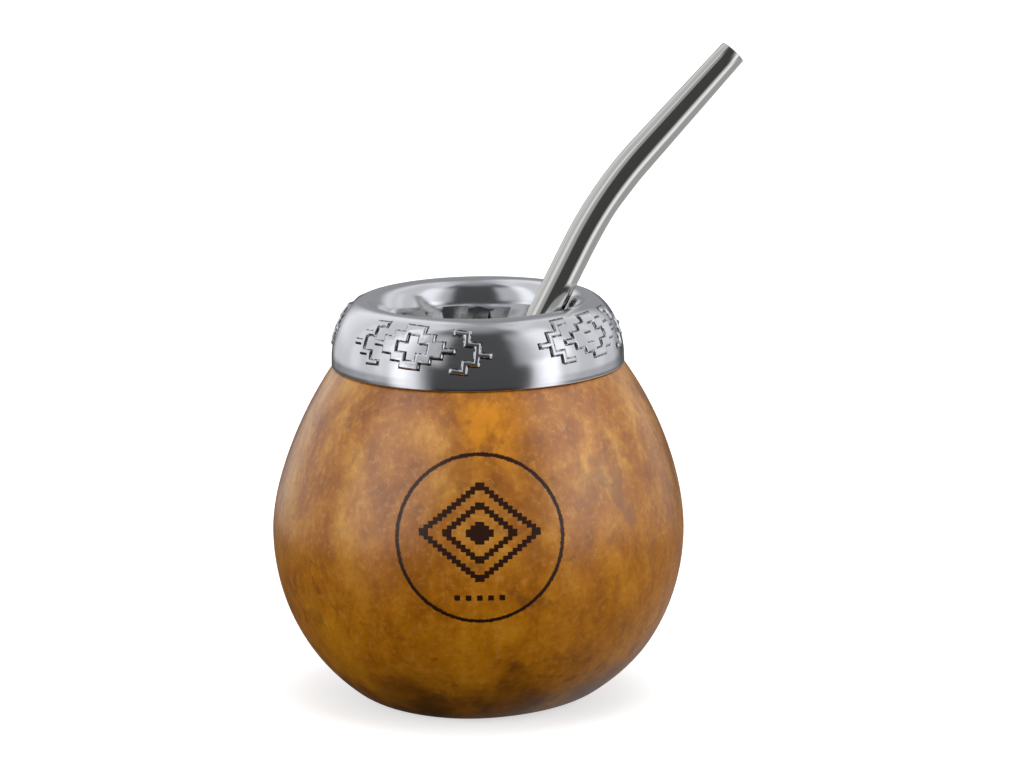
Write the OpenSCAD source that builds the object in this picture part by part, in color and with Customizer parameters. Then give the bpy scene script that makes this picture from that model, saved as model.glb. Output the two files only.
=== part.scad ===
// Mate cup made from a dried gourd, with a spun metal collar on its neck and a
// bent metal drinking straw that stands in it.
// The frame's origin is the middle of the gourd's flat foot, on the table. +Z is up
// and -Y is the front of the cup. The straw leans to the right and a little back.

/* [Gourd] */
// Widest diameter of the gourd
belly_d = 90.6; // [84:0.2:112]
// Height of the widest ring above the table
belly_z = 38; // [32:0.5:46]
// Diameter of the flat spot it stands on
foot_d = 48; // [36:1:56]
// Height of the seat that carries the collar
seat_z = 75; // [65:0.5:90]
// Diameter of the gourd at the seat
seat_d = 63.6; // [60:0.2:72]
// Fullness of the curve below the widest ring, 2 is an ellipse
low_round = 2.05; // [1.8:0.05:2.4]
// Fullness of the curve above the widest ring
high_round = 1.7; // [1.5:0.05:2.2]
// Thickness of the shell
shell_t = 5; // [3.5:0.1:6.5]
// Thickness of the floor
floor_t = 6; // [4:0.1:8]
// Wall of the neck at its top
neck_t = 4.6; // [3:0.1:5]
// How far the radius swells and shrinks round the belly
lump = 0.25; // [0:0.05:0.5]

/* [Collar] */
// Height of the collar from its seat to its crown
collar_h = 14.5; // [12:0.5:18]
// Upright part of the skirt above the seat
skirt_h = 2; // [1:0.5:4]
// Outer diameter of the skirt
skirt_d = 64.3; // [61:0.1:73]
// Diameter of the crown, the highest ring
crown_d = 50; // [46:0.5:54]
// Diameter of the throat, where the tabs start
throat_d = 40.6; // [36:0.2:43]
// Depth of the throat below the crown
throat_drop = 7; // [5:0.5:9]
// Roundness of the outer shoulder, 2 is an ellipse
shoulder_round = 1.75; // [1.5:0.05:2.2]
// Thickness of the metal sheet
sheet_t = 0.8; // [0.5:0.1:1]
// How much higher the collar sits on the right, in degrees
collar_tilt = 0.9; // [0:0.1:2]
// Number of tabs cut and bent down inside the throat
tab_count = 24; // [12:1:26]
// Length of a tab
tab_l = 4.6; // [3:0.1:6]
// Gap between two tabs at their roots
tab_gap = 0.6; // [0.4:0.1:1.5]
// How far a tab leans towards the axis, in degrees
tab_lean = 34; // [20:1:50]
// How much the tabs' lean varies, in degrees
tab_spread = 9; // [0:1:14]

/* [Stamped pattern] */
// How far the stamped figures stand proud of the collar
stamp_h = 0.45; // [0.2:0.05:0.7]
// Height of the figures' middle above the seat
stamp_mid = 8.7; // [8:0.1:9]
// Width of one cell of a figure
cell_w = 1.22; // [0.9:0.02:1.3]
// Height of one cell of a figure
cell_h = 0.97; // [0.7:0.01:1.1]

/* [Straw] */
// Outer diameter of the tube
tube_d = 7.1; // [6:0.1:8]
// Wall of the tube
tube_t = 0.5; // [0.4:0.1:0.8]
// Outer diameter at the mouth end
tip_d = 6; // [5:0.1:7]
// Lean of the lower part from upright, in degrees
straw_lean = 28.4; // [24:0.2:31]
// Further lean of the upper part, in degrees
straw_bend = 16.7; // [8:0.1:25]
// Radius of the bend on the tube's middle line
bend_r = 86; // [60:1:110]
// Height above the crown at which the bend starts
bend_rise = 9.6; // [8:0.1:20]
// Length of the upper part, from the bend to the mouth end
upper_l = 30.6; // [20:0.1:50]
// Direction in which the straw leans, turned from right towards the back
straw_turn = 20; // [0:1:45]
// Radius of the strainer's round end
strainer_r = 4.7; // [4:0.1:5.2]
// Length of the strainer's taper
strainer_l = 20; // [15:1:26]
// Diameter of the strainer's holes
hole_d = 1.2; // [0.8:0.1:1.6]
// Rows of holes along the taper
hole_rows = 5; // [3:1:7]

/* [Fits] */
// Clearance between the collar and the neck inside it
collar_gap = 0.3; // [0.2:0.1:0.5]
// Clearance between the straw and what it leans on
straw_gap = 0.3; // [0.2:0.1:0.5]

/* [Hidden] */

gourd_sides = 48;
low_rings = 13;
high_rings = 11;
arc_steps = 8;

belly_r = belly_d / 2;
foot_r = foot_d / 2;
seat_r = seat_d / 2;
skirt_r = skirt_d / 2;
crown_r = crown_d / 2;
throat_r = throat_d / 2;
crown_z = seat_z + collar_h;
throat_z = crown_z - throat_drop;
tube_r = tube_d / 2;
tip_r = tip_d / 2;

// The figures were stamped by hand, one by one. Each row gives a figure (0 is a diamond,
// 1 and -1 a bracket that points right or left), its turn from the front to the right,
// its roll in degrees and how far it sits above the middle.
stamps = [
    [-1, -50, -3, 0], [0, -27, 2, 0.1], [1, -2, 6, -0.8],
    [-1, 34, -2, 0.2], [0, 57, -1, 0.3], [1, 81, 2, 0.1],
    [-1, 124, 3, -0.3], [0, 148, -2, 0], [1, 172, -3, 0.2],
    [-1, 221, 2, -0.2], [0, 245, 2, 0.2], [1, 269, -2, 0]
];

// The gourd's outline is one superellipse below the widest ring and one above it.
low_end = acos(pow(foot_r / belly_r, low_round / 2));
low_h = belly_z / pow(sin(low_end), 2 / low_round);
high_end = acos(pow(seat_r / belly_r, high_round / 2));
high_h = (seat_z - belly_z) / pow(sin(high_end), 2 / high_round);

function low_point(a) =
    [belly_r * pow(cos(a), 2 / low_round), belly_z - low_h * pow(sin(a), 2 / low_round)];
function high_point(a) =
    [belly_r * pow(cos(a), 2 / high_round), belly_z + high_h * pow(sin(a), 2 / high_round)];

// Direction square to the outline, out of the gourd, at a point of it.
function square_off(p, n, h) =
    let (
        across = pow(p.x / belly_r, n - 1) / belly_r,
        up = sign(p.y - belly_z) * pow(abs(p.y - belly_z) / h, n - 1) / h
    )
    [across, up] / norm([across, up]);

low_outer = [for (i = [0:low_rings]) low_point(low_end * (1 - i / low_rings))];
high_outer = [for (i = [1:high_rings]) high_point(high_end * i / high_rings)];

// The inner wall follows the outer one at the shell's thickness, down to the floor.
low_inner = [for (p = low_outer) p - shell_t * square_off(p, low_round, low_h)];
high_inner = [for (p = high_outer) p - shell_t * square_off(p, high_round, high_h)];
wall_inner = [for (p = concat(low_inner, high_inner)) if (p.y > floor_t + 0.5) p];
floor_r = wall_inner[0].x - 2.5;

// The neck stands inside the collar, clear of its sheet.
neck_foot_r = skirt_r - sheet_t - collar_gap;
neck_top_z = crown_z - 4;
neck_in_r = throat_r + sheet_t + collar_gap + 0.8;
neck_top_r = neck_in_r + neck_t;

outline_outer = concat(low_outer, high_outer, [[neck_foot_r, seat_z], [neck_top_r, neck_top_z]]);
outline_inner = concat([[floor_r, floor_t]], wall_inner, [[neck_in_r, neck_top_z]]);

// Turns a point about the seat's cross axis, as the collar is tilted.
function tilted(p) =
    let (up = p.z - seat_z)
    [
        p.x * cos(collar_tilt) - up * sin(collar_tilt),
        p.y,
        seat_z + p.x * sin(collar_tilt) + up * cos(collar_tilt)
    ];

// The tilt grows smoothly from the widest ring to the seat.
function tilt_share(z) =
    let (s = min(max((z - belly_z) / (seat_z - belly_z), 0), 1))
    s * s * (3 - 2 * s);

// The belly is a little out of round. The foot and the neck are true.
function swell(z, a) =
    let (s = max(sin(180 * z / seat_z), 0))
    z > seat_z ? 0 : lump * s * (0.6 * cos(2 * a - 50) + 0.4 * cos(3 * a + 20));

function ring(p) = [
    for (i = [0:gourd_sides - 1])
        let (
            a = 360 * i / gourd_sides,
            r = p.x + swell(p.y, a),
            q = [r * cos(a), r * sin(a), p.y],
            s = tilt_share(p.y)
        )
        q * (1 - s) + tilted(q) * s
];

// Triangles between ring k and ring k + 1, and round the whole stack of rings.
function band(k) = [
    for (i = [0:gourd_sides - 1])
        let (
            j = (i + 1) % gourd_sides,
            a = k * gourd_sides + i,
            b = k * gourd_sides + j
        )
        each [[a, a + gourd_sides, b], [b, a + gourd_sides, b + gourd_sides]]
];

module gourd() {
    rings = concat(outline_outer, [for (i = [len(outline_inner) - 1:-1:0]) outline_inner[i]]);
    points = [for (p = rings) each ring(p)];
    last = (len(rings) - 1) * gourd_sides;
    color("peru")
        polyhedron(
            points = points,
            faces = concat(
                [[for (i = [0:gourd_sides - 1]) i]],
                [for (k = [0:len(rings) - 2]) each band(k)],
                [[for (i = [gourd_sides - 1:-1:0]) last + i]]
            ),
            convexity = 6
        );
}

// Outer shoulder of the collar, from the top of the skirt to the crown.
function shoulder(inset) = [
    for (i = [0:arc_steps])
        let (a = 90 * i / arc_steps)
        [
            crown_r + (skirt_r - crown_r - inset) * pow(cos(a), 2 / shoulder_round),
            seat_z + skirt_h + (collar_h - skirt_h - inset) * pow(sin(a), 2 / shoulder_round)
        ]
];

// Funnel of the collar, from the throat up to the crown.
function funnel(inset) = [
    for (i = [0:arc_steps - 1])
        let (a = 90 * i / arc_steps)
        [
            crown_r - (crown_r - throat_r - inset) * cos(a),
            throat_z + (throat_drop - inset) * sin(a)
        ]
];

module collar_sheet() {
    rim_outer = concat([[skirt_r, seat_z]], shoulder(0));
    rim_inner = concat([[skirt_r - sheet_t, seat_z]], shoulder(sheet_t));
    down_outer = funnel(0);
    down_inner = funnel(sheet_t);
    rotate_extrude($fn = 96)
        polygon(concat(
            rim_outer,
            [for (i = [arc_steps - 1:-1:0]) down_outer[i]],
            down_inner,
            [for (i = [len(rim_inner) - 1:-1:0]) rim_inner[i]]
        ));
}

// Quarter and half outlines of the figures, in cells, from the top to the middle row.
diamond_out = [[0, 4.5], [2, 4.5], [2, 3.1], [4, 3.1], [4, 1.8], [6, 1.8], [6, 0.5], [8, 0.5]];
diamond_hole = [[0, 2.7], [1, 2.7], [1, 1], [3, 1]];
bracket_out = [[-3.5, 4.5], [-0.5, 4.5], [-0.5, 2.5], [1.5, 2.5], [1.5, 0.5], [3.5, 0.5]];
bracket_in = [[-3.5, 3.5], [-1.5, 3.5], [-1.5, 1.5], [0.5, 1.5]];

function backwards(points) = [for (i = [len(points) - 1:-1:0]) points[i]];
function mirrored(points, x, y) = [for (p = points) [x * p.x, y * p.y]];
function to_bottom(top) = concat(top, backwards(mirrored(top, 1, -1)));
function all_round(quarter) =
    concat(to_bottom(quarter), backwards(mirrored(to_bottom(quarter), -1, 1)));
function sized(points) = [for (p = points) [cell_w * p.x, cell_h * p.y]];

// A stepped ring with a stepped cross left out of its middle.
module diamond() {
    difference() {
        polygon(sized(all_round(diamond_out)));
        polygon(sized(all_round(diamond_hole)));
    }
}

// A stepped arrow head with a stub at its point. Side is 1 if it points right.
module bracket(side) {
    outline = concat(to_bottom(bracket_out), backwards(to_bottom(bracket_in)));
    polygon(sized(mirrored(outline, side, 1)));
}

// A flat figure goes out through the collar's front, and is then turned round the axis.
module pushed_out(stamp) {
    rotate([0, 0, stamp[1]])
        translate([0, -throat_r, seat_z + stamp_mid + stamp[3]])
        rotate([90, stamp[2], 0])
        linear_extrude(height = skirt_r - throat_r + 1)
        children();
}

// The figures stand on the sheet, and are cut to a layer that lies on it.
module figures() {
    intersection() {
        rotate_extrude($fn = 96)
            polygon(concat(shoulder(-stamp_h), backwards(shoulder(sheet_t / 2))));
        union() {
            for (stamp = stamps) {
                pushed_out(stamp) {
                    if (stamp[0] == 0) diamond();
                    else bracket(stamp[0]);
                }
            }
        }
    }
}

// One tab hangs from the throat and leans in. Its root lies inside the sheet.
module tab(turn, lean, width) {
    root = 0.4;
    rotate([0, 0, turn])
        translate([throat_r + sheet_t, 0, throat_z + root])
        rotate([0, lean, 0])
        translate([-sheet_t, -width / 2, -tab_l - root])
        cube([sheet_t, width, tab_l + root]);
}

module collar() {
    width = 2 * throat_r * sin(180 / tab_count) - tab_gap;
    color("silver")
        translate([0, 0, seat_z])
        rotate([0, -collar_tilt, 0])
        translate([0, 0, -seat_z])
        union() {
            collar_sheet();
            figures();
            for (i = [0:tab_count - 1])
                tab(360 * i / tab_count, tab_lean + tab_spread * sin(137 * i), width);
        }
}

// In the straw's own upright plane, x is the distance from the axis. The middle line
// passes the funnel at the straw's gap, and line_x gives its distance at a height.
tilt_here = collar_tilt * cos(straw_turn);
lean_here = straw_lean + tilt_here;
line_offset = crown_r * cos(lean_here) - (throat_z - seat_z) * sin(lean_here)
    - norm([(crown_r - throat_r) * cos(lean_here), throat_drop * sin(lean_here)])
    - tube_r - straw_gap;
function line_x(z) = (line_offset + (z - seat_z) * sin(straw_lean)) / cos(straw_lean);

// The strainer's round end stops at the straw's gap from the gourd's inner wall, which
// is found by halving the range of heights again and again.
function wall_gap(z) =
    min([
        for (i = [0:len(outline_inner) - 2])
            for (t = [0:0.1:1])
                norm(outline_inner[i] * (1 - t) + outline_inner[i + 1] * t - [-line_x(z), z])
    ]) - strainer_r;
function end_height(low, high, steps) =
    steps == 0 ? high
    : let (mid = (low + high) / 2)
      wall_gap(mid) > straw_gap && mid > floor_t + strainer_r + straw_gap
          ? end_height(low, mid, steps - 1)
          : end_height(mid, high, steps - 1);

end_z = end_height(floor_t, belly_z, 16);
bend_z = crown_z + bend_rise;
lower_l = (bend_z - end_z) / cos(straw_lean);

module bend() {
    translate([bend_r, 0, 0])
        rotate([90, 0, 180])
        rotate_extrude(angle = straw_bend, $fn = 96)
        translate([bend_r, 0])
        difference() {
            circle(r = tube_r, $fn = 48);
            circle(r = tube_r - tube_t, $fn = 48);
        }
}

// The upper part tapers to the mouth end. Its start is let into the bend's wall.
module upper() {
    let_in = 0.3;
    step = 0.06;
    translate(bend_r * [1 - cos(straw_bend), 0, sin(straw_bend)])
        rotate([0, straw_bend, 0])
        rotate_extrude($fn = 96)
        polygon([
            [tube_r - tube_t + step, -let_in],
            [tube_r - step, -let_in],
            [tip_r, upper_l],
            [tip_r - tube_t, upper_l]
        ]);
}

// Round end of the strainer, as a quarter circle from its tip outwards.
function round_end(r) = [
    for (i = [0:arc_steps])
        let (a = 90 * i / arc_steps)
        r * [sin(a), -cos(a)]
];

// The lower part is the tube, the strainer's taper below it and a round end, all hollow
// and pierced by rows of holes along the taper.
module lower() {
    end_inner = round_end(strainer_r - tube_t);
    pitch = strainer_l / (hole_rows + 1);
    translate([0, 0, -lower_l])
        difference() {
            rotate_extrude($fn = 96)
                polygon(concat(
                    round_end(strainer_r),
                    [[tube_r, strainer_l], [tube_r, lower_l]],
                    [[tube_r - tube_t, lower_l], [tube_r - tube_t, strainer_l]],
                    [for (i = [arc_steps:-1:0]) end_inner[i]]
                ));
            for (row = [1:hole_rows])
                for (turn = [0:45:135])
                    translate([0, 0, (row - 0.5) * pitch])
                    rotate([0, 90, turn + (row % 2) * 22.5])
                    cylinder(h = 4 * strainer_r, d = hole_d, center = true, $fn = 16);
        }
}

module straw() {
    color("gainsboro")
        rotate([0, 0, straw_turn])
        translate([line_x(bend_z), 0, bend_z])
        rotate([0, straw_lean, 0])
        union() {
            lower();
            bend();
            upper();
        }
}

gourd();
collar();
straw();
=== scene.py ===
import logging
import math
import random
from dataclasses import dataclass, field
from enum import Enum

import bmesh
import bpy
from mathutils import Matrix, Vector, noise


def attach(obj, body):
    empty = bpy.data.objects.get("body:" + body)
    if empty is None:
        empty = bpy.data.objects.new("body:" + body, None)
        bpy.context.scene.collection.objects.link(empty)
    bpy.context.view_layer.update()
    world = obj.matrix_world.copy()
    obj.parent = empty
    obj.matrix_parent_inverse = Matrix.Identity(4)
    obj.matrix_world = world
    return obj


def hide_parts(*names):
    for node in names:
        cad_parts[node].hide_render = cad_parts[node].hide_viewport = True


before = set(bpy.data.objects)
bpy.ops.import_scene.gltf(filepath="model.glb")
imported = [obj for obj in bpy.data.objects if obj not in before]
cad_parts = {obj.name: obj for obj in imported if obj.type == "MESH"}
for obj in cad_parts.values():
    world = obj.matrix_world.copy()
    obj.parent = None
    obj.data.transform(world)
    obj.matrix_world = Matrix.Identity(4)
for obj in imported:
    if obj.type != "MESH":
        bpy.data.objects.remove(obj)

LOG = logging.getLogger("mate_gourd")
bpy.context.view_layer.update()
MM = 0.001
Point = tuple[float, float]
Socket = bpy.types.NodeSocket
Tree = bpy.types.NodeTree
Material = bpy.types.Material
Object = bpy.types.Object
Drawing = bmesh.types.BMesh
Ring = list[bmesh.types.BMVert]


# Colour and node helpers


def linear(hex_colour: str) -> tuple[float, float, float, float]:
    """Turn an sRGB hex colour into a linear one.

    Args:
        hex_colour: six hex digits after a hash sign.

    Returns:
        The linear red, green and blue, with an alpha of one.
    """
    digits = hex_colour.lstrip("#")
    values = [int(digits[i:i + 2], 16) / 255 for i in (0, 2, 4)]
    red, green, blue = [
        v / 12.92 if v <= 0.04045 else ((v + 0.055) / 1.055) ** 2.4 for v in values
    ]
    return red, green, blue, 1.0


def add(tree: Tree, kind: str, sockets: dict | None = None, **settings: object) -> bpy.types.Node:
    """Add a node with its settings, its values and its links.

    Args:
        tree: the node tree that takes the node.
        kind: the node's type name after ShaderNode.
        sockets: a value or a linked output for each named or numbered input.
        settings: the node's own properties.

    Returns:
        The new node.
    """
    made = tree.nodes.new("ShaderNode" + kind)
    for name, value in settings.items():
        setattr(made, name, value)
    for name, value in (sockets or {}).items():
        if isinstance(value, Socket):
            tree.links.new(value, made.inputs[name])
        else:
            made.inputs[name].default_value = value
    return made


def calc(tree: Tree, operation: str, *values: object) -> Socket:
    """Return the result of a math node on the given values or outputs."""
    made = add(tree, "Math", dict(enumerate(values)), operation=operation)
    return made.outputs[0]


def fade(tree: Tree, value: Socket, low: float, high: float,
         start: float = 0.0, end: float = 1.0) -> Socket:
    """Return a smooth step of a value between two limits.

    Args:
        tree: the node tree.
        value: the output that is mapped.
        low: where the step starts.
        high: where the step ends.
        start: the result at and before low.
        end: the result at and after high.

    Returns:
        The mapped output.
    """
    made = add(tree, "MapRange",
               {"Value": value, "From Min": low, "From Max": high,
                "To Min": start, "To Max": end},
               interpolation_type="SMOOTHSTEP")
    return made.outputs["Result"]


def mix(tree: Tree, factor: object, first: object, second: object) -> Socket:
    """Return a colour mixed from two colours.

    Args:
        tree: the node tree.
        factor: the share of the second colour.
        first: the first colour or output.
        second: the second colour or output.

    Returns:
        The mixed colour output.
    """
    made = add(tree, "Mix", {0: factor, 6: first, 7: second},
               data_type="RGBA", blend_type="MIX", clamp_factor=True)
    return made.outputs[2]


def ramp(tree: Tree, value: Socket, stops: tuple[tuple[float, str], ...]) -> Socket:
    """Return a colour ramp of a value.

    Args:
        tree: the node tree.
        value: the output that runs along the ramp.
        stops: each place on the ramp with its hex colour, in order.

    Returns:
        The ramp's colour output.
    """
    made = add(tree, "ValToRGB", {"Fac": value})
    bar = made.color_ramp
    bar.elements[0].position, bar.elements[1].position = stops[0][0], stops[-1][0]
    bar.elements[0].color, bar.elements[1].color = linear(stops[0][1]), linear(stops[-1][1])
    for place, colour in stops[1:-1]:
        bar.elements.new(place).color = linear(colour)
    return made.outputs["Color"]


def grain(tree: Tree, at: Socket, size_mm: float, detail: float = 2.0,
          rough: float = 0.5, distortion: float = 0.0) -> Socket:
    """Return noise whose features are about the given size.

    Args:
        tree: the node tree.
        at: the coordinates in millimetres.
        size_mm: the size of a feature.
        detail: how many finer layers there are.
        rough: how strong the finer layers are.
        distortion: how far the noise is swirled.

    Returns:
        The noise value output, from zero to one.
    """
    made = add(tree, "TexNoise",
               {"Vector": at, "Scale": 1 / size_mm, "Detail": detail,
                "Roughness": rough, "Distortion": distortion})
    return made.outputs["Fac"]


def millimetres(tree: Tree, stretch: tuple = (1, 1, 1), shift: tuple = (0, 0, 0)) -> Socket:
    """Return object coordinates in millimetres.

    Args:
        tree: the node tree.
        stretch: a factor for each axis on top of the change of unit.
        shift: millimetres added along each axis.

    Returns:
        The coordinate output.
    """
    place = add(tree, "TexCoord").outputs["Object"]
    scale = tuple(1000 * s for s in stretch)
    made = add(tree, "VectorMath", {0: place, 1: scale, 2: shift},
               operation="MULTIPLY_ADD")
    return made.outputs[0]


def split(tree: Tree, at: Socket) -> bpy.types.bpy_prop_collection:
    """Return the three parts of a coordinate, named X, Y and Z."""
    return add(tree, "SeparateXYZ", {0: at}).outputs


def distance(tree: Tree, across: Socket, up: Socket) -> Socket:
    """Return how far a place is from the middle of a flat figure."""
    return calc(tree, "SQRT", calc(tree, "ADD", calc(tree, "MULTIPLY", across, across),
                                   calc(tree, "MULTIPLY", up, up)))


def new_material(name: str) -> tuple[Material, Tree]:
    """Return an empty material and its node tree."""
    material = bpy.data.materials.new(name)
    material.use_nodes = True
    material.node_tree.nodes.clear()
    return material, material.node_tree


def close(tree: Tree, shader: bpy.types.Node) -> None:
    """Link a shader to the material's output."""
    add(tree, "OutputMaterial", {"Surface": shader.outputs[0]})


# Finishes


@dataclass(frozen=True)
class Emblem:
    """A plain ring with a stepped diamond, burnt into the front of the gourd."""

    centre_x: float = 0.6
    centre_z: float = 45.2
    ring_r: float = 17.65
    line: float = 0.76
    cell: float = 0.80
    wander: float = 0.30

    def mask(self, tree: Tree, at: Socket) -> Socket:
        """Return the share of the surface that is burnt.

        Args:
            tree: the gourd's node tree.
            at: object coordinates in millimetres.

        Returns:
            An output that is one inside the lines.
        """
        parts = split(tree, at)
        wobble = grain(tree, at, 0.7, 2.0)
        shake = calc(tree, "MULTIPLY", calc(tree, "SUBTRACT", wobble, 0.5), self.wander)
        x = calc(tree, "ADD", calc(tree, "SUBTRACT", parts["X"], self.centre_x), shake)
        z = calc(tree, "ADD", calc(tree, "SUBTRACT", parts["Z"], self.centre_z), shake)
        off = calc(tree, "ABSOLUTE", calc(tree, "SUBTRACT", distance(tree, x, z), self.ring_r))
        bite = calc(tree, "MULTIPLY_ADD", grain(tree, at, 0.45, 3.0, 0.7), 0.7, -0.35)
        ring = fade(tree, calc(tree, "ADD", off, bite), self.line / 2 - 0.08,
                    self.line / 2 + 0.10, 1.0, 0.0)
        steps = self.steps(tree, x, z)
        front = calc(tree, "LESS_THAN", parts["Y"], -5.0)
        return calc(tree, "MULTIPLY", calc(tree, "MAXIMUM", ring, steps), front)

    def steps(self, tree: Tree, x: Socket, z: Socket) -> Socket:
        """Return the stepped diamond and the row of blocks under it.

        Args:
            tree: the gourd's node tree.
            x: millimetres to the right of the middle.
            z: millimetres above the middle.

        Returns:
            An output that is one inside the figures.
        """
        lifted = calc(tree, "SUBTRACT", z, 1.6)
        column = calc(tree, "FLOOR", calc(tree, "DIVIDE", calc(tree, "ABSOLUTE", x),
                                          self.cell * 1.25))
        row = calc(tree, "FLOOR", calc(tree, "DIVIDE", calc(tree, "ABSOLUTE", lifted),
                                       self.cell))
        total = calc(tree, "ADD", column, row)
        outer = calc(tree, "COMPARE", total, 11.5, 0.9)
        inner = calc(tree, "COMPARE", total, 6.5, 0.9)
        heart = calc(tree, "COMPARE", total, 0.5, 1.9)
        figures = calc(tree, "MAXIMUM", calc(tree, "MAXIMUM", outer, inner), heart)
        block = self.cell * 1.5
        under = calc(tree, "COMPARE", z, -12.4, block * 0.5)
        wide = calc(tree, "LESS_THAN", calc(tree, "ABSOLUTE", x), block * 4.5)
        every = calc(tree, "COMPARE", calc(tree, "PINGPONG", x, block), 0.0, block * 0.5)
        blocks = calc(tree, "MULTIPLY", calc(tree, "MULTIPLY", under, wide), every)
        return calc(tree, "MAXIMUM", figures, blocks)


@dataclass(frozen=True)
class LacqueredGourd:
    """Dried gourd rind, stained amber and lacquered, with a burnt emblem."""

    name: str = "lacquered_gourd_rind"
    emblem: Emblem = field(default_factory=Emblem)
    burnt: str = "#2b1508"
    roughness: float = 0.34

    def stain(self, tree: Tree, at: Socket) -> Socket:
        """Return the mottled amber of the rind, darker towards the foot.

        Args:
            tree: the material's node tree.
            at: object coordinates in millimetres.

        Returns:
            The colour output.
        """
        height = split(tree, at)["Z"]
        tall = millimetres(tree, (1.0, 1.0, 0.62), (7, 3, 11))
        clouds = grain(tree, tall, 15.0, 3.0, 0.55, 0.4)
        flecks = grain(tree, tall, 5.5, 4.0, 0.62, 0.3)
        blend = calc(tree, "ADD", calc(tree, "MULTIPLY", clouds, 0.55),
                     calc(tree, "MULTIPLY", flecks, 0.45))
        upper = ramp(tree, blend, ((0.36, "#7c450c"), (0.45, "#945710"),
                                   (0.53, "#a76a18"), (0.64, "#c28a34")))
        lower = ramp(tree, blend, ((0.36, "#9a5900"), (0.46, "#b46d00"),
                                   (0.55, "#c47b00"), (0.66, "#d08705")))
        uneven = calc(tree, "ADD", height, calc(tree, "MULTIPLY",
                                                calc(tree, "SUBTRACT", clouds, 0.5), 40.0))
        colour = mix(tree, fade(tree, uneven, 14.0, 62.0), lower, upper)
        spots = grain(tree, millimetres(tree, (1, 1, 1), (40, 0, 0)), 7.0, 4.0, 0.55, 0.8)
        colour = mix(tree, fade(tree, spots, 0.58, 0.72, 0.0, 0.50), colour, linear("#6a3f10"))
        dust = grain(tree, at, 1.3, 5.0, 0.65)
        colour = mix(tree, fade(tree, dust, 0.50, 0.72, 0.0, 0.28), colour, linear("#704008"))
        colour = mix(tree, fade(tree, dust, 0.50, 0.30, 0.0, 0.22), colour, linear("#e0a860"))
        colour = mix(tree, self.blotches(tree, at), colour, linear("#7c4d26"))
        colour = mix(tree, self.glow(tree, at, clouds, flecks), colour,
                     linear("#d48808"))
        foot = fade(tree, uneven, -2.0, 17.0, 0.82, 0.0)
        return mix(tree, foot, colour, linear("#4c2800"))

    def glow(self, tree: Tree, at: Socket, clouds: Socket, flecks: Socket) -> Socket:
        """Return the one clear amber patch, in front just under the collar.

        Args:
            tree: the material's node tree.
            at: object coordinates in millimetres.
            clouds: the noise that frays the edge of the patch.
            flecks: the noise that mottles the patch.

        Returns:
            The share of the clear amber.
        """
        parts = split(tree, at)
        across = calc(tree, "DIVIDE", calc(tree, "SUBTRACT", parts["X"], 1.5), 6.5)
        upright = calc(tree, "DIVIDE", calc(tree, "SUBTRACT", parts["Z"], 69.0), 11.0)
        frayed = calc(tree, "ADD", distance(tree, across, upright), calc(tree, "MULTIPLY",
                                               calc(tree, "SUBTRACT", clouds, 0.5), 2.8))
        front = fade(tree, parts["Y"], -6.0, 0.0, 1.0, 0.0)
        mottled = calc(tree, "MULTIPLY", fade(tree, frayed, 0.0, 1.30, 0.66, 0.0),
                       fade(tree, flecks, 0.36, 0.60, 0.25, 1.0))
        return calc(tree, "MULTIPLY", mottled, front)

    def blotches(self, tree: Tree, at: Socket) -> Socket:
        """Return the dark upright blotches high on the right of the rind.

        Args:
            tree: the material's node tree.
            at: object coordinates in millimetres.

        Returns:
            The share of the darker colour.
        """
        parts = split(tree, at)
        drops = grain(tree, millimetres(tree, (1.0, 1.0, 0.55), (3, 60, 5)), 6.5, 3.0, 0.5, 0.5)
        where = calc(tree, "MULTIPLY", fade(tree, parts["X"], 8.0, 30.0, 0.25, 1.0),
                     fade(tree, parts["Z"], 30.0, 45.0, 0.3, 1.0))
        return calc(tree, "MULTIPLY", fade(tree, drops, 0.52, 0.66, 0.0, 0.62), where)

    def build(self) -> Material:
        """Return the finished material."""
        material, tree = new_material(self.name)
        at = millimetres(tree)
        burn = self.emblem.mask(tree, at)
        colour = mix(tree, burn, self.stain(tree, at), linear(self.burnt))
        fine = grain(tree, at, 0.55, 3.0, 0.6)
        pores = grain(tree, at, 2.6, 3.0, 0.55)
        height = calc(tree, "ADD", calc(tree, "MULTIPLY", fine, 0.22),
                      calc(tree, "SUBTRACT", pores, calc(tree, "MULTIPLY", burn, 0.9)))
        bump = add(tree, "Bump",
                   {"Height": height, "Strength": 0.30, "Distance": 0.10 * MM})
        shine = calc(tree, "ADD", calc(tree, "MULTIPLY", pores, 0.16), self.roughness - 0.08)
        height_mm = split(tree, at)["Z"]
        worn = calc(tree, "MULTIPLY", fade(tree, height_mm, 30.0, 52.0, 0.0, 0.8),
                    calc(tree, "SUBTRACT", 1.0, calc(tree, "MULTIPLY", burn, 0.7)))
        shader = add(tree, "BsdfPrincipled",
                     {"Base Color": colour, "Roughness": shine, "IOR": 1.42,
                      "Specular IOR Level": 0.32,
                      "Coat Weight": worn, "Coat Roughness": 0.24, "Coat IOR": 1.5,
                      "Normal": bump.outputs[0], "Coat Normal": bump.outputs[0]})
        close(tree, shader)
        return material


@dataclass(frozen=True)
class RawGourd:
    """The scraped, tea-brown inside of a gourd."""

    name: str = "scraped_gourd_inside"

    def build(self) -> Material:
        """Return the finished material."""
        material, tree = new_material(self.name)
        at = millimetres(tree)
        patches = grain(tree, at, 6.0, 4.0, 0.6)
        colour = ramp(tree, patches, ((0.3, "#5a3c20"), (0.7, "#8a6a42")))
        bump = add(tree, "Bump", {"Height": grain(tree, at, 1.2, 3.0),
                                            "Strength": 0.5, "Distance": 0.3 * MM})
        close(tree, add(tree, "BsdfPrincipled",
                        {"Base Color": colour, "Roughness": 0.8, "IOR": 1.45,
                         "Normal": bump.outputs[0]}))
        return material


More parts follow.
